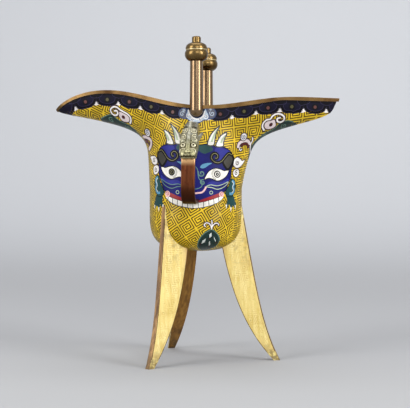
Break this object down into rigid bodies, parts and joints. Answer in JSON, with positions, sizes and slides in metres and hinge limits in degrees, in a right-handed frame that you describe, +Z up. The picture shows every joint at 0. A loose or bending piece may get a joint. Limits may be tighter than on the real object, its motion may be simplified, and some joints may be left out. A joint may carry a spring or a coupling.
{
  "type": "jue vessel",
  "caption": "Enamelled bronze jue: an egg-shaped wine cup on splayed blade legs, with a round spout, a pointed tail, capped posts on the lip and a strap handle under an animal head.",
  "frame": {"origin": "on the axis of the round cup, at the plane that the three feet stand on", "axes": "+Z up along the cup's axis, +X to the pointed tail, -X to the spout, -Y to the handle"},
  "size_m": [0.149, 0.0789, 0.165],
  "materials": {
    "gilt_body": "gilded, worn, inside of the cup",
    "enamel": "opaque fired enamel, polished, ochre ground with many colours",
    "gilt_rim": "gilded, rubbed bright",
    "copper_strap": "coppery red-brown, gilding worn off",
    "gilt_head": "cast relief, pale worn gilding",
    "gilt_leg": "pale gilding over engraved frets, brown edges",
    "bronze_post": "turned, polished brown bronze"
  },
  "bodies": {
    "root": {"vessel_body": "gilt_body", "enamel_coat": "enamel", "rim_band": "gilt_rim", "handle_strap": "copper_strap", "handle_head": "gilt_head", "leg_tail": "gilt_leg", "leg_back": "gilt_leg", "leg_front": "gilt_leg", "post_near": "bronze_post", "finial_bulb_near": "bronze_post", "finial_collar_near": "bronze_post", "finial_dome_near": "bronze_post", "finial_tip_near": "bronze_post", "post_far": "bronze_post", "finial_bulb_far": "bronze_post", "finial_collar_far": "bronze_post", "finial_dome_far": "bronze_post", "finial_tip_far": "bronze_post"}
  },
  "joints": []
}
